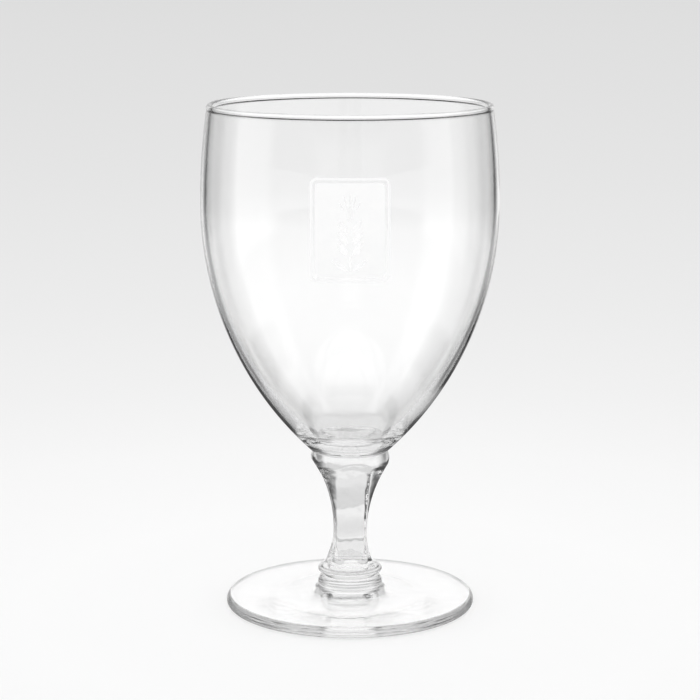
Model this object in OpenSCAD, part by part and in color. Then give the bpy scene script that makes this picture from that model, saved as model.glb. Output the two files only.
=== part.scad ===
// Chalice beer glass: a blown bowl on a four-sided pressed stem, a collar and a round foot.
// Millimetres, +Z up. The origin is the middle of the foot on the table, and the print faces -Y.

/* [Bowl] */
// Height of the bowl from its weld on the stem to the top of the rim
bowl_h = 103; // [80:0.5:130]
// Outer radius of the bowl at its widest
belly_r = 43.7; // [38:0.1:52]
// Height of the widest place above the weld
belly_h = 73.6; // [60:0.1:90]
// How far the wall draws in from the widest place to the rim
rim_draw = 2.1; // [1:0.1:6]
// Thickness of the fire-polished rim bead
bead_d = 1.9; // [1.5:0.1:3]
// How far the bead stands out past the wall below it
bead_proud = 0.15; // [0:0.05:0.4]
// Wall thickness just under the bead
rim_wall = 1.4; // [0.8:0.1:1.5]
// Wall thickness at the widest place
belly_wall = 1.7; // [1:0.1:2.6]
// Height above the weld at which the thick lower wall is measured
heel_h = 28; // [22:0.5:38]
// Level thickness of the wall at that height
heel_wall = 2.8; // [2.3:0.1:4.2]
// Glass between the weld and the inside of the bowl, on the axis
floor_t = 4.6; // [3.4:0.1:9]
// Radius of the round floor inside the bowl
floor_arc = 36; // [32:0.5:60]
// Radius of the weld between bowl and stem
weld_r = 11.2; // [9:0.1:11.8]

/* [Stem] */
// Height of the stem from the collar to the bowl
stem_h = 35.2; // [28:0.1:60]
// Distance from the axis to a flat side at the waist
waist_a = 4.45; // [3:0.05:5.4]
// Radius of the round lands between the flat sides at the waist
waist_r = 6.15; // [5.2:0.05:7]
// Height of the waist above the collar
waist_h = 10.5; // [8:0.1:16]
// Distance from the axis to a flat side at the ankle, below which it flares
ankle_a = 5.6; // [4.7:0.05:6.4]
// Height of the ankle above the collar
ankle_h = 3.4; // [2:0.1:6]
// Distance from the axis to a flat side at the bottom of the stem
base_a = 7; // [6.4:0.05:7.6]
// Radius of the round lands at the bottom of the stem
base_r = 8.4; // [7.8:0.05:8.6]
// Radius of the round crown that ends the flat sides
crown_r = 11.9; // [11.4:0.1:13]
// Depth of the widest place of the crown below the bowl
crown_drop = 3.4; // [1.5:0.1:6]
// How far the crown stands out there past the lands below it
crown_step = 0.1; // [0.05:0.05:0.5]
// Width of a flat side there
side_w = 9.7; // [7:0.1:12]
// Turn of the flat sides about the axis, in degrees
side_turn = 8; // [0:1:89]

/* [Collar] */
// Height of the collar between foot and stem
collar_h = 2.8; // [2.4:0.1:5]
// Radius of the collar
collar_r = 9.6; // [9.2:0.1:14]
// Radius of its rounded edge
collar_edge = 0.7; // [0.3:0.05:1]
// Height of the edge above the foot
collar_edge_h = 1.6; // [1.1:0.1:1.9]
// Rim of the collar left free around the base of the stem
collar_ledge = 0.2; // [0:0.05:0.6]

/* [Foot] */
// Radius of the foot
foot_r = 37.1; // [30:0.1:46]
// Thickness of the rounded edge of the foot
foot_edge_t = 3.2; // [2:0.1:4.6]
// Thickness of the foot where its top runs into the knop
foot_mid_t = 5; // [4:0.1:6.5]
// Height of the top of the knop, where the collar sits
foot_h = 9; // [8.2:0.1:12]
// Radius of the knop at its widest
knop_r = 9.7; // [8.6:0.1:12]
// Height of the widest place of the knop above the table
knop_h = 6.3; // [5.6:0.1:7.4]
// Radius of the neck between knop and collar
neck_r = 8; // [6.5:0.1:9]
// Radius of the cove between knop and foot
knop_cove = 1.2; // [0.4:0.1:2.5]
// Radius of the hollow under the foot
hollow_r = 21; // [10:0.5:28]
// Depth of the hollow on the axis
hollow_d = 1.2; // [0.4:0.1:2.5]

/* [Print] */
// Width of the print across the front of the bowl
print_w = 22; // [14:0.5:34]
// Height of the print
print_h = 29; // [18:0.5:36]
// Depth of the top of the print below the rim
print_drop = 16.9; // [8:0.1:24]
// Thickness of the enamel
print_t = 0.12; // [0.05:0.01:0.4]
// Width of the border line
border_w = 0.7; // [0.3:0.05:1.5]
// Clear glass between border line and panel
border_gap = 0.7; // [0.3:0.05:1.5]
// Corner radius of the border line
border_round = 2; // [1:0.1:3]
// Share of the panel's height that the barley ear fills
ear_fill = 0.866; // [0.7:0.001:0.92]
// Length of one grain of the ear, before the ear is fitted to the panel
grain_l = 4.6; // [3:0.1:5]
// Width of one grain
grain_w = 1.7; // [1:0.1:1.9]
// Height between one pair of grains and the next
grain_pitch = 3.1; // [2.8:0.1:3.6]
// Pairs of grains on the ear
grain_pairs = 3; // [2:1:3]
// Lean of a grain away from the stalk, in degrees
grain_lean = 38; // [34:1:45]
// Clear of enamel between the stalk's line and the lower point of a grain
grain_off = 0.6; // [0.4:0.05:1]
// Length of the middle awn above the ear
awn_l = 4.4; // [3:0.1:5]
// Width of an awn at its middle
awn_w = 0.4; // [0.2:0.02:0.5]
// Width of the stalk
stalk_w = 0.55; // [0.3:0.05:0.7]
// Length of the stalk below the ear
stalk_l = 4.4; // [3.4:0.1:5]
// Length of a leaf beside the stalk
leaf_l = 5.4; // [3:0.1:6.5]
// Width of a leaf
leaf_w = 1.2; // [0.6:0.1:1.6]
// Lean of a leaf away from the stalk, in degrees
leaf_lean = 52; // [45:1:60]

/* [Hidden] */

// Facets around the axis, and along the large and the small arcs of a profile
$fn = 48;
large_arc_fn = 160;
small_arc_fn = 20;
// Number of flat sides on the stem
sides = 4;
// How far a cut runs past the face that it starts from
overrun = 1;
// Clearance between the enamel and the glass that carries it
print_gap = 0.02;
// Lean of the middle, inner and outer awns, in degrees, and the share of the middle one that each reaches
awn_leans = [0, 13, 26];
awn_shares = [1, 0.86, 0.62];
// How far the middle awn starts below the tip of the top grain
awn_sink = 0.5;

// Heights above the table
stem_z = foot_h + collar_h;
bowl_z = stem_z + stem_h;
rim_z = bowl_z + bowl_h - bead_d / 2;
belly_z = bowl_z + belly_h;
heel_z = bowl_z + heel_h;
floor_z = bowl_z + floor_t;
waist_z = stem_z + waist_h;
ankle_z = stem_z + ankle_h;
crown_z = bowl_z - crown_drop;
collar_edge_z = foot_h + collar_edge_h;
print_z = bowl_z + bowl_h - print_drop - print_h / 2;

// Radius of an arc that sets out along a line and has drawn away from it by aside after ahead
function arc_radius(aside, ahead) = (aside * aside + ahead * ahead) / (2 * aside);

// Radius of the bowl's outside at height z below the belly
function lower_outside(z) = belly_r - lower_arc + sqrt(pow(lower_arc, 2) - pow(belly_z - z, 2));

// Arcs of the bowl's outside, from the belly up to the rim and down to the weld
upper_arc = arc_radius(rim_draw, rim_z - belly_z);
lower_arc = arc_radius(belly_r - weld_r, belly_h);

// Arcs of its inside, from the belly up to the rim and down past the heel
inner_r = belly_r - belly_wall;
inner_upper_arc = arc_radius(rim_draw + rim_wall - belly_wall, rim_z - belly_z);
inner_lower_arc = arc_radius(inner_r - lower_outside(heel_z) + heel_wall, belly_z - heel_z);

// Stem: arcs of its flat sides and of the round lands above and below the waist, and of the crown
crown_a = sqrt(pow(crown_r, 2) - pow(side_w / 2, 2));
side_upper_arc = arc_radius(crown_a - waist_a, crown_z - waist_z);
side_lower_arc = arc_radius(ankle_a - waist_a, waist_z - ankle_z);
land_upper_arc = arc_radius(crown_r - crown_step - waist_r, crown_z - waist_z);
land_lower_arc = arc_radius(base_r - waist_r, waist_h);
crown_arc = arc_radius(crown_r - weld_r, crown_drop);
// Growth of a flat side's distance from the axis for each millimetre below the ankle
side_flare = (base_a - ankle_a) / ankle_h;

// Foot: arc of the knop, place of the cove beside it, and arcs of the top and of the hollow
foot_edge = foot_edge_t / 2;
foot_flat_r = foot_r - foot_edge;
knop_arc = arc_radius(knop_r - neck_r, foot_h - knop_h);
knop_axis = knop_r - knop_arc;
cove_z = foot_mid_t + knop_cove;
cove_r = knop_axis + sqrt(pow(knop_arc + knop_cove, 2) - pow(cove_z - knop_h, 2));
cove_top_z = knop_h + (cove_z - knop_h) * knop_arc / (knop_arc + knop_cove);
foot_top_arc = arc_radius(foot_mid_t - foot_edge_t, foot_flat_r - cove_r);
hollow_arc = arc_radius(hollow_d, hollow_r);

// Print: the panel inside the border, and the heights of the ear about the middle of the print
panel_inset = border_w + border_gap;
panel_w = print_w - 2 * panel_inset;
panel_h = print_h - 2 * panel_inset;
ear_l = grain_pairs * grain_pitch + grain_l;
motif_l = stalk_l + ear_l + awn_l;
stalk_z = -motif_l / 2;
ear_z = stalk_z + stalk_l;
ear_top_z = ear_z + grain_pairs * grain_pitch;

// Half profile from the axis out to an arc that stands upright at (r, z), between z0 and z1
module bulge(r, z, arc, z0, z1) {
    if (r > arc)
        translate([0, z0]) square([r - arc, z1 - z0]);
    intersection() {
        translate([0, z0]) square([r, z1 - z0]);
        translate([r - arc, z]) circle(arc, $fn = large_arc_fn);
    }
}

// Half profile of the bowl's outside, or of the print when grown by the enamel
module bowl_outside(grow, z0, z1) {
    bulge(belly_r + grow, belly_z, lower_arc + grow, z0, belly_z);
    bulge(belly_r + grow, belly_z, upper_arc + grow, belly_z, z1);
}

// Half profile of the bowl's inside: the wall, and below the heel only as much of it as the round floor leaves
module bowl_inside() {
    intersection() {
        bulge(inner_r, belly_z, inner_lower_arc, floor_z - overrun, belly_z);
        union() {
            translate([0, floor_z + floor_arc]) circle(floor_arc, $fn = large_arc_fn);
            translate([0, heel_z]) square([belly_r, belly_h]);
        }
    }
    bulge(inner_r, belly_z, inner_upper_arc, belly_z, rim_z + bead_d);
}

module bowl() {
    color("AliceBlue", 0.5) rotate_extrude() {
        difference() {
            bowl_outside(0, bowl_z, rim_z);
            bowl_inside();
        }
        translate([belly_r - rim_draw + bead_proud - bead_d / 2, rim_z])
            circle(d = bead_d, $fn = small_arc_fn);
    }
}

// Area beside the stem between z0 and z1, from two arcs that meet upright at the waist, r from the axis
module beside_waist(r, lower_arc, upper_arc, z0, z1) {
    intersection() {
        translate([r + lower_arc, waist_z]) circle(lower_arc, $fn = large_arc_fn);
        translate([0, z0]) square([2 * crown_r, waist_z - z0]);
    }
    intersection() {
        translate([r + upper_arc, waist_z]) circle(upper_arc, $fn = large_arc_fn);
        translate([0, waist_z]) square([2 * crown_r, z1 - waist_z]);
    }
}

// Cutter for one flat side: hollow above the ankle, and flaring straight to the collar below it
module side_cutter() {
    rotate([90, 0, 0]) linear_extrude(height = 4 * crown_r, center = true) {
        beside_waist(waist_a, side_lower_arc, side_upper_arc, ankle_z, bowl_z + overrun);
        polygon([
            [ankle_a, ankle_z],
            [base_a + overrun * side_flare, stem_z - overrun],
            [2 * crown_r, stem_z - overrun],
            [2 * crown_r, ankle_z]
        ]);
    }
}

// Round body with a waist, cut to four flat sides that arch where they run out on the crown
module stem() {
    color("AliceBlue", 0.5) rotate([0, 0, side_turn]) difference() {
        rotate_extrude() {
            difference() {
                translate([0, stem_z]) square([crown_r, crown_z - stem_z]);
                beside_waist(waist_r, land_lower_arc, land_upper_arc, stem_z - overrun, crown_z + overrun);
            }
            bulge(crown_r, crown_z, crown_arc, crown_z, bowl_z);
        }
        for (side = [0 : sides - 1])
            rotate([0, 0, 360 / sides * side]) side_cutter();
    }
}

module collar() {
    color("AliceBlue", 0.5) rotate_extrude() {
        polygon([
            [0, foot_h],
            [neck_r, foot_h],
            [collar_r - collar_edge, collar_edge_z - collar_edge],
            [collar_r - collar_edge, collar_edge_z + collar_edge],
            [base_r + collar_ledge, stem_z],
            [0, stem_z]
        ]);
        translate([collar_r - collar_edge, collar_edge_z])
            circle(collar_edge, $fn = small_arc_fn);
    }
}

module foot() {
    color("AliceBlue", 0.5) rotate_extrude() {
        difference() {
            union() {
                square([foot_flat_r, foot_mid_t]);
                translate([foot_flat_r, foot_edge]) circle(foot_edge, $fn = small_arc_fn);
            }
            translate([foot_flat_r, foot_edge_t + foot_top_arc])
                circle(foot_top_arc, $fn = 2 * large_arc_fn);
            translate([0, hollow_d - hollow_arc]) circle(hollow_arc, $fn = 2 * large_arc_fn);
        }
        difference() {
            translate([0, foot_mid_t]) square([cove_r, cove_top_z - foot_mid_t]);
            translate([cove_r, cove_z]) circle(knop_cove, $fn = small_arc_fn);
        }
        bulge(knop_r, knop_h, knop_arc, foot_mid_t, foot_h);
    }
}

// Thin skin of enamel on the front of the bowl, cut to the outline that is given
module enamel() {
    intersection() {
        rotate_extrude() difference() {
            bowl_outside(print_gap + print_t, bowl_z, rim_z);
            bowl_outside(print_gap, bowl_z - overrun, rim_z + overrun);
        }
        translate([0, 0, print_z])
            rotate([90, 0, 0]) linear_extrude(height = 2 * belly_r) children();
    }
}

// Rectangle about the middle of the print, its corners rounded
module rounded(w, h, r) {
    square([w - 2 * r, h], center = true);
    square([w, h - 2 * r], center = true);
    for (x = [-1, 1], y = [-1, 1])
        translate([x * (w / 2 - r), y * (h / 2 - r)]) circle(r, $fn = small_arc_fn);
}

// Pointed oval of length l and width w that stands on its lower point
module oval(l, w) {
    arc = arc_radius(w / 2, l / 2);
    intersection() {
        translate([arc - w / 2, l / 2]) circle(arc, $fn = large_arc_fn);
        translate([w / 2 - arc, l / 2]) circle(arc, $fn = large_arc_fn);
    }
}

// Ear of barley: stalk with two leaves, pairs of grains, a grain on top and a fan of awns
module barley_ear() {
    translate([-stalk_w / 2, stalk_z]) square([stalk_w, stalk_l]);
    translate([0, ear_top_z]) oval(grain_l, grain_w);
    for (side = [-1, 1]) {
        translate([side * grain_off, stalk_z]) rotate(-side * leaf_lean) oval(leaf_l, leaf_w);
        for (pair = [0 : grain_pairs - 1])
            translate([side * grain_off, ear_z + pair * grain_pitch])
                rotate(-side * grain_lean) oval(grain_l, grain_w);
    }
    for (i = [0 : len(awn_leans) - 1], side = i == 0 ? [1] : [-1, 1])
        translate([side * i * grain_w / 2, ear_top_z + grain_l * (1 + awn_shares[i]) / 2 - awn_sink])
            rotate(-side * awn_leans[i]) oval(awn_l * awn_shares[i], awn_w);
}

module print_panel() {
    color("White") enamel() difference() {
        rounded(panel_w, panel_h, border_round - panel_inset / 2);
        scale(ear_fill * panel_h / motif_l) barley_ear();
    }
}

module print_border() {
    color("White") enamel() difference() {
        rounded(print_w, print_h, border_round);
        rounded(print_w - 2 * border_w, print_h - 2 * border_w, border_round - border_w);
    }
}

bowl();
stem();
collar();
foot();
print_panel();
print_border();
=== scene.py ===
# %% [markdown]
# # A chalice beer glass
# The glass was blown and pressed in four gathers that were welded while hot: an egg-shaped bowl, a
# four-sided stem, a thin collar and a round foot. A white print is fired on the front of the bowl. The
# solid model gives every size. Clear glass shows only through what it bends and mirrors, so this lesson
# spends its care on three things: skins that are smooth to the light, welds that the light does not see,
# and a studio with something to bend and mirror.

import math

import bpy
import numpy as np
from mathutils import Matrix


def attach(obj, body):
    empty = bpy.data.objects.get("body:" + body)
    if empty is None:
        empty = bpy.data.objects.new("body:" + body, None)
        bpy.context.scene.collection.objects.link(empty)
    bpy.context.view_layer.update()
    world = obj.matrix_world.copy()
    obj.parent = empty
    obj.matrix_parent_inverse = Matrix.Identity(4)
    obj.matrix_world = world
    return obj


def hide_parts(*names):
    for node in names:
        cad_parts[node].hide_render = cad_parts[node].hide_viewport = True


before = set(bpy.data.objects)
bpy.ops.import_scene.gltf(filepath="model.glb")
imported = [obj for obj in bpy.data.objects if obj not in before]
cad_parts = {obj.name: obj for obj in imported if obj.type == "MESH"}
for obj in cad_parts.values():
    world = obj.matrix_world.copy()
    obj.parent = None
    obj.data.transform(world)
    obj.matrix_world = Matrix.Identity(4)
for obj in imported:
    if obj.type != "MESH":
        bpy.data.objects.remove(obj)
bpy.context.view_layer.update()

# %% [markdown]
# ## Drawing profiles
# A turned piece is known by its half profile, a line of (radius, height) points from the axis out and
# back again. The profiles of this glass are arcs that run into each other. A curve object could be spun
# with a Screw modifier, but worked-out points keep each arc true, and a hot glass edge is never sharp, so
# corners are eased as they are joined. All sizes are in millimetres until a mesh is made.


# %% Arcs and eased corners
def arc_radius(aside, ahead):
    """Radius of an arc that sets out along a line and has drawn away from it by aside after ahead."""
    return (aside * aside + ahead * ahead) / (2 * aside)


def arc(centre_r, centre_z, radius, start, stop, points):
    """Points of a circle's arc: the centre plus radius times (cosine, sine) of angles from start to stop,
    in degrees."""
    a = np.radians(np.linspace(start, stop, points))
    return np.column_stack([centre_r + radius * np.cos(a), centre_z + radius * np.sin(a)])


def line(start, stop, points):
    """Evenly spaced points from start to stop."""
    return np.linspace(start, stop, points)


def eased(before, after, reach, points=8):
    """Two stretches that end and start at one corner, joined softly: both are cut back by reach, and a
    quadratic Bezier curve that aims at the corner runs between the cut ends."""
    corner = before[-1]
    before = before[np.linalg.norm(before - corner, axis=1) > reach]
    after = after[np.linalg.norm(after - corner, axis=1) > reach]
    leave, enter = before[-1] - corner, after[0] - corner
    p = corner + reach * leave / np.linalg.norm(leave)
    q = corner + reach * enter / np.linalg.norm(enter)
    t = np.linspace(0, 1, points)[:, None]
    bend = (1 - t) ** 2 * p + 2 * t * (1 - t) * corner + t**2 * q
    return np.vstack([before, bend, after])


print("an arc that is 1 aside after 3 ahead has radius", arc_radius(1, 3))

# %% [markdown]
# ## A skin from rings
# Bowl, collar and foot are rings of one radius, and the stem is rings whose radius changes around the
# axis, so one function makes all four. The first and last rings close on a point of the axis. The faces
# that a weld joins to the next piece go into a second material slot, because inside melted glass there is
# nothing to see.

# %% Rings into a closed mesh
MM = 0.001
AROUND = 240
SHARP = math.radians(50)


def ring_skin(name, radius, height, around=AROUND, turn=0.0, welds=()):
    """Closed skin through rings: point (i, j) has angle turn + 360 j / around, radius[i] or radius[i, j]
    and height[i]. Ring 0 and the last one are poles. Span i lies between rings i and i + 1, and the spans
    listed in welds get material slot 1."""
    radius = np.asarray(radius, float)
    if radius.ndim == 1:
        radius = np.repeat(radius[:, None], around, axis=1)
    angle = np.radians(turn) + np.linspace(0, 2 * math.pi, around, endpoint=False)
    z = np.repeat(np.asarray(height, float)[:, None], around, axis=1)
    rings = np.stack([radius * np.cos(angle), radius * np.sin(angle), z], axis=-1)[1:-1]
    n = len(rings)
    points = np.vstack([[[0, 0, height[0]]], rings.reshape(-1, 3), [[0, 0, height[-1]]]]) * MM
    grid = 1 + np.arange(n * around).reshape(n, around)
    after = np.roll(grid, -1, axis=1)
    quads = np.stack([grid[:-1], after[:-1], after[1:], grid[1:]], axis=-1).reshape(-1, 4)
    first = np.column_stack([np.zeros(around, int), after[0], grid[0]])
    last = np.column_stack([np.full(around, n * around + 1), grid[-1], after[-1]])
    mesh = bpy.data.meshes.new(name)
    mesh.from_pydata(points.tolist(), [], first.tolist() + quads.tolist() + last.tolist())
    between = 1 + np.repeat(np.arange(n - 1), around)
    spans = np.concatenate([np.zeros(around, int), between, np.full(around, n)])
    mesh.polygons.foreach_set("material_index", np.isin(spans, list(welds)).astype(np.int32))
    mesh.shade_smooth()
    mesh.set_sharp_from_angle(angle=SHARP)
    piece = bpy.data.objects.new(name, mesh)
    bpy.context.collection.objects.link(piece)
    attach(piece, "root")
    print(name, len(mesh.vertices), "points,", len(mesh.polygons), "faces")
    return piece


print("each turned ring has", AROUND, "points")

# %% [markdown]
# ## Bowl
# The bowl was blown in a mould, so its wall is thin at the belly and thick at the heel, where the gather
# sat. Outside it is two arcs that meet upright at the belly. Inside, two more arcs and a round floor
# cross, and the soft smallest of their radii rounds the crossing. The rim was melted until it drew itself
# into a bead, and the eased corners under the bead are what catches the light there.

# %% Bowl sizes
bowl_z, rim_top = 47.0, 150.0
belly_r, belly_z, rim_draw = 43.7, 120.6, 2.1
bead_d, bead_proud, rim_wall, belly_wall = 1.9, 0.15, 1.4, 1.7
heel_z, heel_wall, floor_z, floor_arc, weld_r = 75.0, 2.8, 51.6, 36.0, 11.2

rim_z = rim_top - bead_d / 2
bead_r = belly_r - rim_draw + bead_proud - bead_d / 2
upper_arc = arc_radius(rim_draw, rim_z - belly_z)
lower_arc = arc_radius(belly_r - weld_r, belly_z - bowl_z)
heel_r = belly_r - lower_arc + math.sqrt(lower_arc**2 - (belly_z - heel_z) ** 2)
inner_r = belly_r - belly_wall
inner_upper_arc = arc_radius(rim_draw + rim_wall - belly_wall, rim_z - belly_z)
inner_lower_arc = arc_radius(inner_r - heel_r + heel_wall, belly_z - heel_z)
inner_axis = inner_r - inner_lower_arc
print("bowl", rim_top - bowl_z, "mm tall and", 2 * belly_r, "mm wide")


# %% Outside and rim of the bowl
def wall_angle(radius, height):
    """Angle on an arc about the belly's height at which it reaches a height."""
    return math.degrees(math.asin((height - belly_z) / radius))


def meets_bead(wall_r):
    """Angle on the bead's circle at which a wall that stands at wall_r runs into it from below."""
    aside = wall_r - bead_r
    return math.degrees(math.atan2(-math.sqrt((bead_d / 2) ** 2 - aside**2), aside))


outer_meet = meets_bead(belly_r - rim_draw)
inner_meet = meets_bead(belly_r - rim_draw - rim_wall) + 360
outer_top = rim_z + bead_d / 2 * math.sin(math.radians(outer_meet))
inner_top = rim_z + bead_d / 2 * math.sin(math.radians(inner_meet))
outside = np.vstack([
    arc(belly_r - lower_arc, belly_z, lower_arc, wall_angle(lower_arc, bowl_z), 0, 70)[:-1],
    arc(belly_r - upper_arc, belly_z, upper_arc, 0, wall_angle(upper_arc, outer_top), 90),
])
bead = arc(bead_r, rim_z, bead_d / 2, outer_meet, inner_meet, 40)
print("bead from", round(outer_meet), "to", round(inner_meet), "degrees")

# %% Inside of the bowl
crossing_p = 60
low_z = floor_z + (heel_z - floor_z) * np.linspace(1, 0, 80) ** 2
low_wall = inner_axis + np.sqrt(inner_lower_arc**2 - (belly_z - low_z) ** 2)
low_floor = np.sqrt(np.clip(floor_arc**2 - (floor_z + floor_arc - low_z) ** 2, 0, None))
low_r = low_floor * (1 + (low_floor / low_wall) ** crossing_p) ** (-1 / crossing_p)
upper_stop, lower_stop = wall_angle(inner_upper_arc, inner_top), wall_angle(inner_lower_arc, heel_z)
inside = np.vstack([
    arc(inner_r - inner_upper_arc, belly_z, inner_upper_arc, upper_stop, 0, 90)[:-1],
    arc(inner_axis, belly_z, inner_lower_arc, 0, lower_stop, 60)[:-1],
    np.column_stack([low_r, low_z]),
])
print("inside from", round(inner_top, 1), "down to", floor_z, "mm")

# %% Bowl
bead_ease, weld_in = 0.15, 3.0
wall = eased(eased(outside, bead, bead_ease), inside, bead_ease)
profile = np.vstack([[[0, bowl_z]], line((weld_in, bowl_z), (weld_r, bowl_z), 3)[:-1], wall])
profile[-1, 0] = 0
bowl = ring_skin("bowl_glass", profile[:, 0], profile[:, 1], welds=(0, 1, 2))
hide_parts("bowl")

# %% [markdown]
# ## Stem
# The stem was pressed in a mould: a round body with a waist, cut to four hollowed flat sides. Round lands
# stay between the sides, which arch where they run out on the crown and flare below the ankle. Four
# cutters and a boolean would give knife edges, and pressed glass has soft ones, so the radius is worked
# out instead: a soft smallest value over the sides and the body, which is one over the p-th root of the
# sum of p-th powers of one over each. A large p keeps edges tight.

# %% Stem sizes
stem_z, ankle_z, waist_z, crown_z = 11.8, 15.2, 22.3, 43.6
waist_a, ankle_a, base_a, side_w = 4.45, 5.6, 7.0, 9.7
waist_r, base_r, crown_r, side_turn = 6.15, 8.4, 11.9, 8.0
crown_a = math.sqrt(crown_r**2 - (side_w / 2) ** 2)
side_upper_arc = arc_radius(crown_a - waist_a, crown_z - waist_z)
side_lower_arc = arc_radius(ankle_a - waist_a, waist_z - ankle_z)
land_upper_arc = arc_radius(crown_r - waist_r, crown_z - waist_z)
land_lower_arc = arc_radius(base_r - waist_r, waist_z - stem_z)
crown_arc = arc_radius(crown_r - weld_r, bowl_z - crown_z)
print("stem", round(bowl_z - stem_z, 1), "mm tall and", 2 * waist_r, "mm thick at the waist")

# %% Radius of the stem
side_p, body_p = 60, 90


def waisted(z, r, lower_arc, upper_arc):
    """Distance from the axis, at heights z, of two arcs that meet upright at the waist, r from the axis."""
    bend = np.where(z < waist_z, lower_arc, upper_arc)
    return r + bend - np.sqrt(bend**2 - (z - waist_z) ** 2)


def stem_radius(z, theta):
    """Radius of the stem at heights z and angles theta: the soft smallest of four flat sides, which are
    hollow above the ankle and flare below it, and of the round body with its waist and its crown."""
    side = waisted(np.maximum(z, ankle_z), waist_a, side_lower_arc, side_upper_arc)
    side = side + np.clip(ankle_z - z, 0, None) * (base_a - ankle_a) / (ankle_z - stem_z)
    land = waisted(np.minimum(z, crown_z), waist_r, land_lower_arc, land_upper_arc)
    crown = crown_r - crown_arc + np.sqrt(crown_arc**2 - np.clip(z - crown_z, 0, None) ** 2)
    body = np.where(z > crown_z, crown, land)
    faces = np.radians(side_turn + 90 * np.arange(4))
    toward = np.clip(np.cos(theta[None, :] - faces[:, None]), 0, None)
    four = (toward**side_p).sum(0) ** (1 / side_p)
    return ((four[None, :] / side[:, None]) ** body_p + (1 / body[:, None]) ** body_p) ** (-1 / body_p)


waist = stem_radius(np.array([waist_z]), np.radians(np.arange(360)))
print("radius at the waist from", round(waist.min(), 2), "to", round(waist.max(), 2), "mm")

# %% Stem
stem_angles, ankle_reach, arch_z = 360, 0.6, 40.5
rows = np.concatenate([
    np.linspace(stem_z, ankle_z - ankle_reach, 14)[:-1],
    np.linspace(ankle_z - ankle_reach, ankle_z + ankle_reach, 24)[:-1],
    np.linspace(ankle_z + ankle_reach, arch_z, 74)[:-1],
    np.linspace(arch_z, bowl_z, 48),
])
theta = np.radians(side_turn) + np.linspace(0, 2 * math.pi, stem_angles, endpoint=False)
skin = stem_radius(rows, theta)
caps = [np.zeros((1, stem_angles)), np.full((1, stem_angles), weld_in)]
stem = ring_skin(
    "stem_glass",
    np.vstack([*caps, skin, *caps[::-1]]),
    np.concatenate([[stem_z, stem_z], rows, [bowl_z, bowl_z]]),
    stem_angles, side_turn, welds=(0, 1, len(rows) + 1, len(rows) + 2),
)
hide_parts("stem")

# %% [markdown]
# ## Collar and foot
# A collar of hot glass joins stem and foot, and the foot was pressed with a small knop in its middle, a
# dished top, a round edge and a shallow hollow below, so that it stands on a ring. Both are turned
# profiles. On the collar's top one ring follows the outline of the stem, so that only the glass inside
# that outline is weld.

# %% Collar
foot_h, neck_r = 9.0, 8.0
collar_r, collar_edge, collar_edge_z, collar_ledge = 9.6, 0.7, 10.6, 0.2
under_ease, over_ease = 0.3, 0.2
edge_r = collar_r - collar_edge
under = line((neck_r, foot_h), (edge_r, collar_edge_z - collar_edge), 8)
edge = arc(edge_r, collar_edge_z, collar_edge, -90, 90, 30)
over = line((edge_r, collar_edge_z + collar_edge), (base_r + collar_ledge, stem_z), 8)
rim = eased(eased(under, edge, under_ease), over, over_ease)
bottom = line((weld_in, foot_h), (neck_r, foot_h), 3)[:-1]
top = line((base_r, stem_z), (weld_in, stem_z), 3)
profile = np.vstack([[[0, foot_h]], bottom, rim, top, [[0, stem_z]]])
outline = len(profile) - len(top) - 1
shape = np.repeat(profile[:, :1], stem_angles, axis=1)
shape[outline] = skin[0]
welds = (0, 1, 2, outline, outline + 1, outline + 2)
collar = ring_skin("collar_glass", shape, profile[:, 1], stem_angles, side_turn, welds)
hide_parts("collar")

# %% Foot sizes
foot_r, foot_edge_t, foot_mid_t = 37.1, 3.2, 5.0
knop_r, knop_h, knop_cove = 9.7, 6.3, 1.2
hollow_r, hollow_d = 21.0, 1.2
foot_edge = foot_edge_t / 2
foot_flat_r = foot_r - foot_edge
knop_arc = arc_radius(knop_r - neck_r, foot_h - knop_h)
knop_axis = knop_r - knop_arc
cove_z = foot_mid_t + knop_cove
cove_r = knop_axis + math.sqrt((knop_arc + knop_cove) ** 2 - (cove_z - knop_h) ** 2)
touch = math.degrees(math.atan2(cove_z - knop_h, cove_r - knop_axis))
foot_top_arc = arc_radius(foot_mid_t - foot_edge_t, foot_flat_r - cove_r)
hollow_arc = arc_radius(hollow_d, hollow_r)
hollow_reach = math.degrees(math.asin(hollow_r / hollow_arc))
top_reach = math.degrees(math.asin((foot_flat_r - cove_r) / foot_top_arc))
neck_angle = math.degrees(math.asin((foot_h - knop_h) / knop_arc))
print("foot", 2 * foot_r, "mm wide, and its knop meets the cove at", round(touch, 1), "degrees")

# %% Foot
hollow_ease, edge_ease, cove_ease = 2.0, 0.3, 0.4
below = arc(0, hollow_d - hollow_arc, hollow_arc, 90, 90 - hollow_reach, 40)
ring = line((hollow_r, 0), (foot_flat_r, 0), 20)
edge = arc(foot_flat_r, foot_edge, foot_edge, -90, 90, 44)
dish = arc(foot_flat_r, foot_edge_t + foot_top_arc, foot_top_arc, -90, -90 - top_reach, 50)
cove = arc(cove_r, cove_z, knop_cove, -90, -180 + touch, 24)
knop = arc(knop_axis, knop_h, knop_arc, touch, neck_angle, 24)
outline = eased(eased(eased(below, ring, hollow_ease), edge, edge_ease), dish, edge_ease)
outline = np.vstack([eased(outline, cove, cove_ease), knop[1:]])
profile = np.vstack([outline, line((neck_r, foot_h), (weld_in, foot_h), 3)[1:], [[0, foot_h]]])
profile[0, 0] = 0
last = len(profile)
foot = ring_skin("foot_glass", profile[:, 0], profile[:, 1], welds=(last - 4, last - 3, last - 2))
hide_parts("foot")

# %% [markdown]
# ## Sheets of nodes
# A finish is a sheet of linked nodes. Made by hand in the shader editor it would be as good, but a script
# can be read again and changed in one place. These helpers place a node with its values, link nodes by
# their sockets, make a grey ramp over a value, and start a material, a world or a group that several
# materials share.


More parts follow.
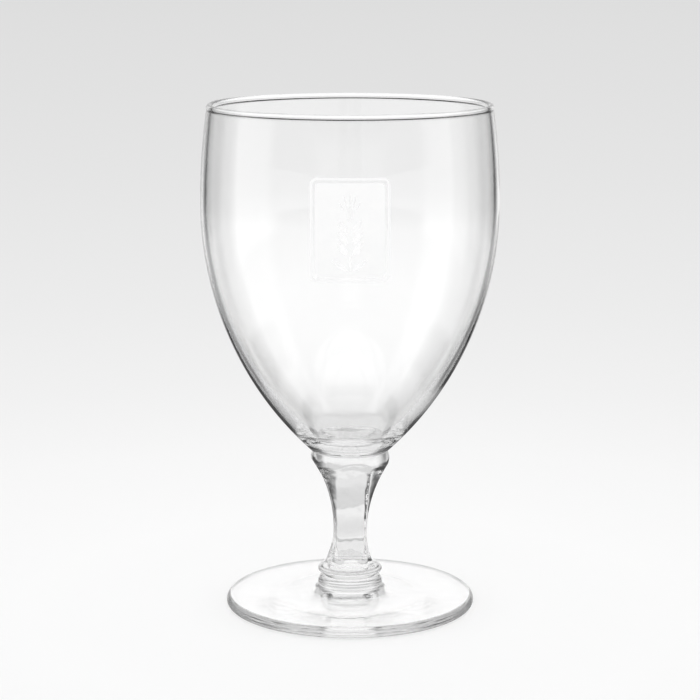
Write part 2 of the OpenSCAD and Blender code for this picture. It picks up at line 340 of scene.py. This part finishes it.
# %% Node helpers
def empty_sheet(owner):
    """Node sheet of a new material or world, with nothing on it."""
    owner.use_nodes = True
    owner.node_tree.nodes.clear()
    return owner.node_tree


def group(name, takes, gives):
    """New node group: takes and gives hold the names of its inputs and outputs with their kinds."""
    made = bpy.data.node_groups.new(name, "ShaderNodeTree")
    for side, sockets in (("INPUT", takes), ("OUTPUT", gives)):
        for socket, kind in sockets.items():
            made.interface.new_socket(name=socket, in_out=side, socket_type="NodeSocket" + kind)
    return made


def node(tree, kind, place, inputs=(), **settings):
    """A new node at a place on the sheet, with settings and with input values by name or number."""
    made = tree.nodes.new("ShaderNode" + kind)
    made.location = place
    for key, value in settings.items():
        setattr(made, key, value)
    for key, value in dict(inputs).items():
        made.inputs[key].default_value = value
    return made


def wire(tree, *links):
    """Links given as (node, output, node, input), the sockets by name or number."""
    for a, out, b, into in links:
        tree.links.new(a.outputs[out], b.inputs[into])


def grey_ramp(tree, place, source, output, stops, ease="EASE"):
    """Ramp over an output of another node, from (position, grey) stops."""
    made = node(tree, "ValToRGB", place)
    made.color_ramp.interpolation = ease
    while len(made.color_ramp.elements) < len(stops):
        made.color_ramp.elements.new(1.0)
    for element, (position, grey) in zip(made.color_ramp.elements, stops):
        element.position = position
        element.color = (grey, grey, grey, 1)
    wire(tree, (source, output, made, "Fac"))
    return made


def combine(tree, place, operation, a, b):
    """Math node over the first outputs of two nodes."""
    made = node(tree, "Math", place, operation=operation)
    wire(tree, (a, 0, made, 0), (b, 0, made, 1))
    return made


print("helpers for nodes are ready")

# %% [markdown]
# ## Glass
# Soda-lime glass bends light with an index of about 1.52 and has almost no colour. What makes it look
# made rather than computed is flow: a blown wall keeps long faint ripples from the gather, pressed glass
# keeps the fine chill of the mould, and the narrow stem chilled most and is the most uneven. One node
# group works that out as a height, as a haze that feeds the roughness, and as a tone that takes a little
# light where the glass is thick. Each glass places it with its own sizes. A bump is enough, because only
# the bent light shows it.

# %% Flow of the glass
flow = group("glass_flow", {"Ripple size": "Float", "Upright stretch": "Float", "Haze": "Float"},
             {"Height": "Float", "Roughness": "Float", "Tone": "Color"})
given = flow.nodes.new("NodeGroupInput")
given_out = flow.nodes.new("NodeGroupOutput")
given.location, given_out.location = (-900, 0), (440, 200)
where = node(flow, "TexCoord", (-900, 300))
parts = node(flow, "SeparateXYZ", (-700, 300))
squeeze = node(flow, "Math", (-520, 200), operation="DIVIDE")
joined = node(flow, "CombineXYZ", (-340, 300))
scale = node(flow, "Math", (-520, 20), {0: 1.0}, operation="DIVIDE")
ripple = node(flow, "TexNoise", (-140, 300), {"Detail": 1.5, "Roughness": 0.4})
smear = node(flow, "TexNoise", (-140, 0), {"Scale": 55.0, "Detail": 4.0, "Roughness": 0.6})
smeared = node(flow, "MapRange", (60, 0), {"From Min": 0.5, "From Max": 0.8})
rough = node(flow, "Math", (240, 0), operation="MULTIPLY")
tall = node(flow, "MapRange", (-140, -300), {"From Max": rim_top * MM})
tone_by_height = [(0, 0.97), (8, 0.97), (13, 0.82), (50, 0.82), (66, 0.96), (80, 0.985)]
tone = grey_ramp(flow, (60, -300), tall, 0, [(z / rim_top, grey) for z, grey in tone_by_height])
wire(flow,
     (where, "Object", parts, 0), (parts, "X", joined, "X"), (parts, "Y", joined, "Y"),
     (parts, "Z", squeeze, 0), (given, "Upright stretch", squeeze, 1), (squeeze, 0, joined, "Z"),
     (given, "Ripple size", scale, 1), (joined, 0, ripple, "Vector"), (scale, 0, ripple, "Scale"),
     (joined, 0, smear, "Vector"), (smear, "Fac", smeared, "Value"), (smeared, 0, rough, 0),
     (given, "Haze", rough, 1), (parts, "Z", tall, "Value"), (tone, "Color", given_out, "Tone"),
     (ripple, "Fac", given_out, "Height"), (rough, 0, given_out, "Roughness"))
print("node group", flow.name, "with", len(flow.nodes), "nodes")


# %% Three glasses and the inside of a weld
def clear_glass(name, ripple_size, stretch, depth, haze):
    """Principled glass with the flow group's ripples, haze and tone. Ripple size and depth are metres."""
    material = bpy.data.materials.new(name)
    tree = empty_sheet(material)
    flowing = node(tree, "Group", (-500, 0), {
        "Ripple size": ripple_size, "Upright stretch": stretch, "Haze": haze}, node_tree=flow)
    bump = node(tree, "Bump", (-260, -160), {"Strength": 1.0, "Distance": depth})
    shader = node(tree, "BsdfPrincipled", (0, 0), {
        "Metallic": 0.0, "IOR": 1.52, "Transmission Weight": 1.0})
    out = node(tree, "OutputMaterial", (320, 0))
    wire(tree, (flowing, "Height", bump, "Height"), (flowing, "Roughness", shader, "Roughness"),
         (flowing, "Tone", shader, "Base Color"), (bump, "Normal", shader, "Normal"),
         (shader, "BSDF", out, "Surface"))
    return material


blown = clear_glass("blown_glass", ripple_size=0.022, stretch=2.6, depth=0.00006, haze=0.01)
pressed = clear_glass("pressed_glass", ripple_size=0.006, stretch=1.3, depth=0.00002, haze=0.02)
chilled = clear_glass("chilled_glass", ripple_size=0.0035, stretch=1.6, depth=0.0003, haze=0.02)
weld = bpy.data.materials.new("weld_inside_glass")
tree = empty_sheet(weld)
nothing = node(tree, "BsdfTransparent", (0, 0))
out = node(tree, "OutputMaterial", (200, 0))
wire(tree, (nothing, 0, out, "Surface"))
for piece, finish in [(bowl, blown), (stem, chilled), (collar, pressed), (foot, pressed)]:
    piece.data.materials.append(finish)
    piece.data.materials.append(weld)
    print(piece.name, "is", finish.name)

# %% [markdown]
# ## Enamel
# The print is ground white glass pushed through a screen and melted on, so it is a satin skin with a
# faint mesh mark and clouds where the layer was thicker. The solid model's skins already lie on the bowl,
# so they stay and get this finish. A single white would look like paper.

# %% Enamel
enamel = bpy.data.materials.new("fired_enamel")
tree = empty_sheet(enamel)
where = node(tree, "TexCoord", (-1000, 0))
cloud = node(tree, "TexNoise", (-780, 200), {"Scale": 260.0, "Detail": 3.0})
tone = node(tree, "ValToRGB", (-560, 200))
whites = [(0.3, (0.97, 0.972, 0.974, 1)), (0.7, (0.995, 0.995, 0.992, 1))]
for element, (position, white) in zip(tone.color_ramp.elements, whites):
    element.position, element.color = position, white
satin = node(tree, "MapRange", (-560, -60), {"To Min": 0.28, "To Max": 0.46})
mesh_mark = node(tree, "TexVoronoi", (-780, -260), {"Scale": 2200.0})
bump = node(tree, "Bump", (-300, -260), {"Strength": 0.35, "Distance": 0.00003})
shader = node(tree, "BsdfPrincipled", (0, 0), {"IOR": 1.5})
out = node(tree, "OutputMaterial", (320, 0))
wire(tree, (where, "Object", cloud, "Vector"), (where, "Object", mesh_mark, "Vector"),
     (cloud, "Fac", tone, "Fac"), (cloud, "Fac", satin, "Value"), (tone, "Color", shader, "Base Color"),
     (satin, 0, shader, "Roughness"), (mesh_mark, "Distance", bump, "Height"),
     (bump, "Normal", shader, "Normal"), (shader, "BSDF", out, "Surface"))
for name in ("print_panel", "print_border"):
    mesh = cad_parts[name].data
    mesh.materials.clear()
    mesh.materials.append(enamel)
print("enamel on print_panel and print_border")

# %% [markdown]
# ## Sides of the studio
# A photographer draws the edges of clear glass with black screens at the sides of a bright ground: near
# its outline the wall bends and mirrors the view sideways, so the outline turns dark while the middle
# stays bright. Tall light panels beside the camera leave two upright stripes. Standing sheets would do,
# but the floor and the room can simply be dark or bright by direction, with soft ends. This group turns a
# place or a direction into its azimuth about the glass, where 0 is behind the glass and minus is to its
# left.

# %% Azimuth about the glass
compass = group("compass", {"Vector": "Vector"}, {"Turn": "Float", "Off axis": "Float"})
given = compass.nodes.new("NodeGroupInput")
given_out = compass.nodes.new("NodeGroupOutput")
given.location, given_out.location = (-600, 0), (200, 0)
parts = node(compass, "SeparateXYZ", (-400, 0))
azimuth = node(compass, "Math", (-200, 0), operation="ARCTAN2")
turn = node(compass, "Math", (0, 100), {1: 0.5 / math.pi, 2: 0.5}, operation="MULTIPLY_ADD")
off_axis = node(compass, "Math", (0, -100), {1: math.pi / 4}, operation="PINGPONG")
wire(compass, (given, "Vector", parts, 0), (parts, "X", azimuth, 0), (parts, "Y", azimuth, 1),
     (azimuth, 0, turn, 0), (azimuth, 0, off_axis, 0), (turn, 0, given_out, "Turn"),
     (off_axis, 0, given_out, "Off axis"))


def by_azimuth(stops, top=1.0):
    """Ramp stops from (degrees, value) pairs. Values are shares of top."""
    return [(0.5 + az / 360, value / top) for az, value in stops]


def smooth_step(tree, place, about, start, stop):
    """Mask that rises from 0 to 1 between two angles, in degrees, off the nearest of the four axes."""
    made = node(tree, "MapRange", place, {1: math.radians(start), 2: math.radians(stop)},
                interpolation_type="SMOOTHSTEP")
    wire(tree, (about, "Off axis", made, 0))
    return made


screen_edge, screen_full, screen_level, dome_light = 20, 33, 0.1, 1.1
print("screens stand", screen_edge, "degrees off each axis")

# %% [markdown]
# ## Floor
# The floor is a plain pale sheet that runs out to the horizon and greys with distance, so there is no
# edge behind the glass. Its grey is a ramp over the logarithm of the distance, because the near half
# metre fills most of the picture. Light that the glass has bent sees other greys: paler ones, which are
# painted light, brighter than white close around the foot as with a lamp behind the glass, and dark
# places. Screens lie on the back half, beside the glass there are two patches, and a thin painted
# contact shadow runs close around the foot, so that its edge is drawn. A lane on each diagonal stays
# bright, for views from above.

# %% Floor sheet
half_floor, floor_drop = 12.0, 0.0002
side = np.linspace(-half_floor, half_floor, 3)
x, y = np.meshgrid(side, side)
corners = np.column_stack([x.ravel(), y.ravel(), np.full(x.size, -floor_drop)])
grid = np.arange(x.size).reshape(x.shape)
quads = np.stack([grid[:-1, :-1], grid[:-1, 1:], grid[1:, 1:], grid[1:, :-1]], axis=-1).reshape(-1, 4)
sheet = bpy.data.meshes.new("floor_sheet")
sheet.from_pydata(corners.tolist(), [], quads.tolist())
floor = bpy.data.objects.new("floor_sheet", sheet)
bpy.context.collection.objects.link(floor)
floor.visible_glossy = False
print("floor", 2 * half_floor, "m wide")

# %% Grey of the floor by distance
near_log, far_log = -1.6, 0.8


def by_distance(stops, top=1.0):
    """Ramp stops from (metres, value) pairs: the logarithm of the distance places them, and values are
    shares of top."""
    return [((math.log10(d) - near_log) / (far_log - near_log), value / top) for d, value in stops]


paper = bpy.data.materials.new("floor_paper")
tree = empty_sheet(paper)
where = node(tree, "TexCoord", (-1100, 0))
about = node(tree, "Group", (-900, -300), node_tree=compass)
far = node(tree, "VectorMath", (-900, 0), operation="LENGTH")
log = node(tree, "Math", (-720, 0), {1: 10.0}, operation="LOGARITHM")
reach = node(tree, "MapRange", (-540, 0), {"From Min": near_log, "From Max": far_log})
wire(tree, (where, "Object", about, "Vector"), (where, "Object", far, 0), (far, "Value", log, 0),
     (log, 0, reach, "Value"))
plain_greys = [(0.03, 0.995), (0.10, 0.99), (0.20, 0.945), (0.333, 0.885), (0.55, 0.84), (1.2, 0.785),
               (2.1, 0.758), (5.5, 0.73)]
plain = grey_ramp(tree, (-340, 0), reach, 0, by_distance(plain_greys, dome_light), "LINEAR")
print("floor grey from", plain_greys[0][1], "to", plain_greys[-1][1])

# %% Dark places on the floor
lane_edge, lane_full, lane_open = 35, 41, 0.75
screen = smooth_step(tree, (-600, -300), about, screen_edge, screen_full)
screen_reach = grey_ramp(tree, (-340, -300), reach, 0, by_distance(
    [(0.11, 0), (0.15, 0.7), (0.3, 0.66), (0.5, 0.56), (0.8, 0.75), (1.2, 1)]))
lane = smooth_step(tree, (-600, -560), about, lane_edge, lane_full)
lane_reach = grey_ramp(tree, (-340, -560), reach, 0, by_distance(
    [(0.11, 0), (0.15, lane_open), (0.45, lane_open), (0.7, 0)]))
shut = node(tree, "Math", (120, -560), {0: 1.0}, operation="SUBTRACT")
wire(tree, (combine(tree, (-60, -560), "MULTIPLY", lane, lane_reach), 0, shut, 1))
dark = combine(tree, (-60, -300), "MULTIPLY", screen, screen_reach)
dark_open = combine(tree, (300, -300), "MULTIPLY", dark, shut)
back_half = grey_ramp(tree, (-340, -820), about, "Turn", by_azimuth(
    [(-120, 0), (-100, 1), (100, 1), (120, 0)]))
dark_back = combine(tree, (480, -400), "MULTIPLY", dark_open, back_half)
print("lanes open from", lane_edge, "degrees off each axis")

# %% Patches beside the glass and the painted shadow around the foot
beside = grey_ramp(tree, (-340, -1080), about, "Turn", by_azimuth(
    [(-118, 0), (-106, 1), (-68, 1), (-56, 0), (56, 0), (68, 1), (106, 1), (118, 0)]))
beside_reach = grey_ramp(tree, (-340, -1340), reach, 0, by_distance(
    [(0.07, 0), (0.085, 1), (0.13, 1), (0.15, 0)]))
# Painted contact shadow: a thin ring of floor close around the foot is dark for bent light only, weaker in
# front and weakest at the back, so the foot's edge shows a dark line.
in_front, at_back = 0.75, 0.5
painted_contact_shadow = grey_ramp(tree, (-340, -1600), about, "Turn", by_azimuth([
    (-180, in_front), (-152, in_front), (-136, 0), (-118, 0), (-106, 1), (-68, 1), (-56, at_back),
    (56, at_back), (68, 1), (106, 1), (118, 0), (136, 0), (152, in_front), (180, in_front)]))
painted_shadow_reach = grey_ramp(tree, (-340, -1860), reach, 0, by_distance(
    [(0.0355, 0), (0.037, 1), (0.045, 1), (0.05, 0)]))
patches = combine(tree, (140, -1200), "MAXIMUM",
                  combine(tree, (-60, -1080), "MULTIPLY", beside, beside_reach),
                  combine(tree, (-60, -1600), "MULTIPLY", painted_contact_shadow, painted_shadow_reach))
darkest = combine(tree, (660, -500), "MAXIMUM", dark_back, patches)
print("the line around the foot is dark by", in_front, "in front and", at_back, "at the back")

# %% Floor paper
# Painted light: bent light sees the floor paler than white close around the foot, up to about 1.3 times, as
# if a lamp stood behind the glass.
painted_light_top = 1.3
through = grey_ramp(tree, (-340, 260), reach, 0, by_distance([
    (0.034, 1.28), (0.045, 1.2), (0.06, 1.0), (0.1, 0.92), (0.14, 0.95), (0.18, 1.03), (0.3, 1.12),
    (0.5, 1.1), (0.8, 1.05), (1.1, 0.9), (2.0, 0.84), (5.5, 0.82)], painted_light_top), "LINEAR")
bent_grey = node(tree, "MapRange", (840, -300), {
    "To Min": painted_light_top / dome_light, "To Max": painted_light_top * screen_level / dome_light}, clamp=False)
bent_shade = node(tree, "VectorMath", (1020, -200), operation="SCALE")
path = node(tree, "LightPath", (840, 300))
shade = node(tree, "Mix", (1200, 0), data_type="RGBA")
matt = node(tree, "BsdfDiffuse", (1380, 0))
out = node(tree, "OutputMaterial", (1560, 0))
wire(tree, (darkest, 0, bent_grey, 0), (through, "Color", bent_shade, 0),
     (bent_grey, 0, bent_shade, "Scale"), (path, "Is Transmission Ray", shade, 0),
     (plain, "Color", shade, 6), (bent_shade, 0, shade, 7), (shade, 2, matt, "Color"),
     (matt, 0, out, "Surface"))
sheet.materials.append(paper)
print(paper.name, "with", len(tree.nodes), "nodes")

# %% [markdown]
# ## Dark ring
# The bead of the rim bends the view upwards, to just above the picture, and a photographer darkens that
# place to draw the rim as a crisp line. Here a ring of black felt hangs around the glass, a little higher
# than the rim. Only light that has been bent by the glass meets it, so it throws no shadow and stays out
# of the picture from every side.

# %% Dark ring
ring_r, ring_low, ring_high, ring_sides = 0.15, 0.18, 0.26, 96
angle = np.linspace(0, 2 * math.pi, ring_sides, endpoint=False)
circle = np.column_stack([ring_r * np.cos(angle), ring_r * np.sin(angle)])
points = np.vstack([np.column_stack([circle, np.full(ring_sides, z)]) for z in (ring_low, ring_high)])
first = np.arange(ring_sides)
after = np.roll(first, -1)
quads = np.column_stack([first, after, after + ring_sides, first + ring_sides])
felt_ring = bpy.data.meshes.new("felt_ring")
felt_ring.from_pydata(points.tolist(), [], quads.tolist())
felt_hung = bpy.data.objects.new("felt_ring", felt_ring)
bpy.context.collection.objects.link(felt_hung)
felt_hung.visible_camera = felt_hung.visible_diffuse = False
felt_hung.visible_glossy = felt_hung.visible_shadow = False
print("ring from", ring_low, "to", ring_high, "m")

# %% Black felt
felt = bpy.data.materials.new("black_felt")
tree = empty_sheet(felt)
where = node(tree, "TexCoord", (-600, 0))
fibre = node(tree, "TexNoise", (-400, 0), {"Scale": 400.0})
nap = grey_ramp(tree, (-200, 0), fibre, "Fac", [(0.3, 0.02), (0.7, 0.05)])
matt = node(tree, "BsdfDiffuse", (60, 0))
out = node(tree, "OutputMaterial", (260, 0))
wire(tree, (where, "Object", fibre, "Vector"), (nap, "Color", matt, "Color"), (matt, 0, out, "Surface"))
felt_ring.materials.append(felt)
print(felt.name, "on", felt_hung.name)

# %% [markdown]
# ## Room
# For everything matt the room is an even white dome, also where that light comes through the glass, so
# the foot throws no heavy shadow. The camera sees a pale wall that goes on where the floor ends. The bent
# light sees that wall too, with the screens standing on it and a dark band around its lower part, open
# behind the glass. The mirrored light sees screens and light panels by azimuth, between a dark ground and
# a bright ceiling. Lamps and cards would do the same, but each would also light the floor. Cycles blurs
# glass that follows a matt bounce to save noise, and loses light below the foot by it, so that blur is
# off.

# %% Bounces
bounces = 48
cycles = bpy.context.scene.cycles
cycles.blur_glossy = 0.0
cycles.max_bounces = cycles.transparent_max_bounces = bounces
cycles.glossy_bounces = cycles.transmission_bounces = bounces
print("light bounces up to", bounces, "times")

# %% Wall for the camera and for bent light
world = bpy.data.worlds.new("studio")
bpy.context.scene.world = world
tree = empty_sheet(world)
path = node(tree, "LightPath", (-1100, 500))
way = node(tree, "TexCoord", (-1300, 0))
parts = node(tree, "SeparateXYZ", (-1100, 0))
about = node(tree, "Group", (-1100, -300), node_tree=compass)
wire(tree, (way, "Generated", parts, 0), (way, "Generated", about, "Vector"))
wall = grey_ramp(tree, (-640, 0), parts, "Z", [
    (0.0, 0.735), (0.12, 0.73), (0.3, 0.86), (0.65, 0.97), (1.0, 0.98)])
screen = smooth_step(tree, (-840, 250), about, screen_edge, screen_full)
screen_top = node(tree, "MapRange", (-840, 500), {
    "From Min": 0.3, "From Max": 0.6, "To Min": 1.0, "To Max": 0.0})
wire(tree, (parts, "Z", screen_top, 0))
behind = grey_ramp(tree, (-840, 750), about, "Turn", by_azimuth(
    [(-115, 1), (-100, 0.5), (-80, 0.5), (-65, 1), (-30, 1), (-16, 0), (16, 0), (30, 1)]))
low_band = grey_ramp(tree, (-840, 1000), parts, "Z", [
    (0.05, 0), (0.12, 1), (0.45, 0.9), (0.6, 0.75), (0.75, 0)])
darkest = combine(tree, (-460, 500), "MAXIMUM",
                  combine(tree, (-640, 350), "MULTIPLY", screen, screen_top),
                  combine(tree, (-640, 800), "MULTIPLY", behind, low_band))
bent_wall = 1.12
bent_level = node(tree, "MapRange", (-300, 400), {"To Min": bent_wall, "To Max": screen_level})
bent_grey = node(tree, "Mix", (-120, 250), {2: 1.0})
screened = node(tree, "VectorMath", (60, 100), operation="SCALE")
wire(tree, (darkest, 0, bent_level, 0), (path, "Is Transmission Ray", bent_grey, 0),
     (bent_level, 0, bent_grey, 3), (wall, "Color", screened, 0), (bent_grey, 0, screened, "Scale"))
print("bent light sees the wall", bent_wall, "times as bright, and the screens", screen_level)

# %% Screens, panels, ground and ceiling for mirrored light
panel_light, ground_grey, ground_half = 1.45, 0.05, 60
ground_top, ground_full = -0.22, -0.3
mirror_view = [
    (-180, 0.75), (-122, 0.75), (-112, panel_light), (-86, panel_light), (-80, 0.5), (-72, 0.12),
    (-50, 0.1), (-44, 0.03), (-31, 0.03), (-20, 0.85), (0, 0.9), (20, 0.85), (31, 0.03), (44, 0.03),
    (50, 0.1), (84, 0.12), (93, 0.5), (98, panel_light), (119, panel_light), (128, 0.75), (180, 0.75)]
low_view = [(az, ground_grey if abs(az) < ground_half else grey) for az, grey in mirror_view]
around = grey_ramp(tree, (-840, -300), about, "Turn", by_azimuth(mirror_view, panel_light))
ground = grey_ramp(tree, (-840, -560), about, "Turn", by_azimuth(low_view, panel_light))
lowered = node(tree, "MapRange", (-840, -820), {"From Min": ground_top, "From Max": ground_full})
sides = node(tree, "Mix", (-460, -400), data_type="RGBA")
panel = node(tree, "VectorMath", (-280, -400), {"Scale": panel_light}, operation="SCALE")
height = node(tree, "MapRange", (-840, -1080), {"From Min": -1.0, "From Max": 1.0})
below_ceiling, ceiling_greys = [(0.2, 1), (0.36, 0)], [(-0.1, 0.85), (0.3, 0.98)]
level = grey_ramp(tree, (-560, -820), height, 0, [(0.5 + z / 2, on) for z, on in below_ceiling])
ceiling = grey_ramp(tree, (-560, -1080), height, 0, [(0.5 + z / 2, grey) for z, grey in ceiling_greys])
mirrored = node(tree, "Mix", (-100, -500), data_type="RGBA")
wire(tree, (parts, "Z", lowered, 0), (lowered, 0, sides, 0), (around, "Color", sides, 6),
     (ground, "Color", sides, 7), (sides, 2, panel, 0), (parts, "Z", height, 0),
     (level, "Color", mirrored, 0), (ceiling, "Color", mirrored, 6), (panel, 0, mirrored, 7))
print("mirrored light sees", len(mirror_view), "stops around, panels of", panel_light)

# %% Which light sees what
dome = (dome_light, dome_light, dome_light, 1)
matt_once = 0.5
seen = node(tree, "Math", (60, 700), operation="MAXIMUM")
mirror = node(tree, "Math", (60, 900), operation="MULTIPLY")
matt = node(tree, "Math", (60, 1100), {1: matt_once}, operation="GREATER_THAN")
shown = node(tree, "Mix", (240, 100), {6: dome}, data_type="RGBA")
bright = node(tree, "Mix", (420, 100), data_type="RGBA")
final = node(tree, "Mix", (600, 200), {7: dome}, data_type="RGBA")
light = node(tree, "Background", (780, 100))
out = node(tree, "OutputWorld", (960, 100))
wire(tree, (path, "Is Camera Ray", seen, 0), (path, "Is Transmission Ray", seen, 1), (seen, 0, shown, 0),
     (screened, 0, shown, 7), (path, "Is Reflection Ray", mirror, 0), (path, "Is Glossy Ray", mirror, 1),
     (mirror, 0, bright, 0), (shown, 2, bright, 6), (mirrored, 2, bright, 7),
     (path, "Diffuse Depth", matt, 0), (matt, 0, final, 0), (bright, 2, final, 6),
     (final, 2, light, "Color"), (light, 0, out, "Surface"))
print("room lit by", world.name, "with", len(tree.nodes), "nodes")

# %% [markdown]
# ## Camera
# The rim and the foot are both circles, and how flat their ellipses look gives the camera's height and
# distance. It stands about 0.65 m away and 0.2 m above the table, looks down by 10.8 degrees and has a
# long lens.

# %% Camera
camera_back, camera_up, camera_tilt = 0.649, 0.2008, 10.78
lens = bpy.data.cameras.new("camera")
lens.sensor_width, lens.lens = 36.0, 114.9
lens.clip_start, lens.clip_end = 0.01, 100.0
camera = bpy.data.objects.new("camera", lens)
camera.location = (0.0, -camera_back, camera_up)
camera.rotation_euler = (math.radians(90 - camera_tilt), 0, 0)
bpy.context.collection.objects.link(camera)
bpy.context.scene.camera = camera
bpy.context.scene.view_settings.view_transform = "Standard"
print("camera at", tuple(camera.location), "lens", lens.lens, "mm")
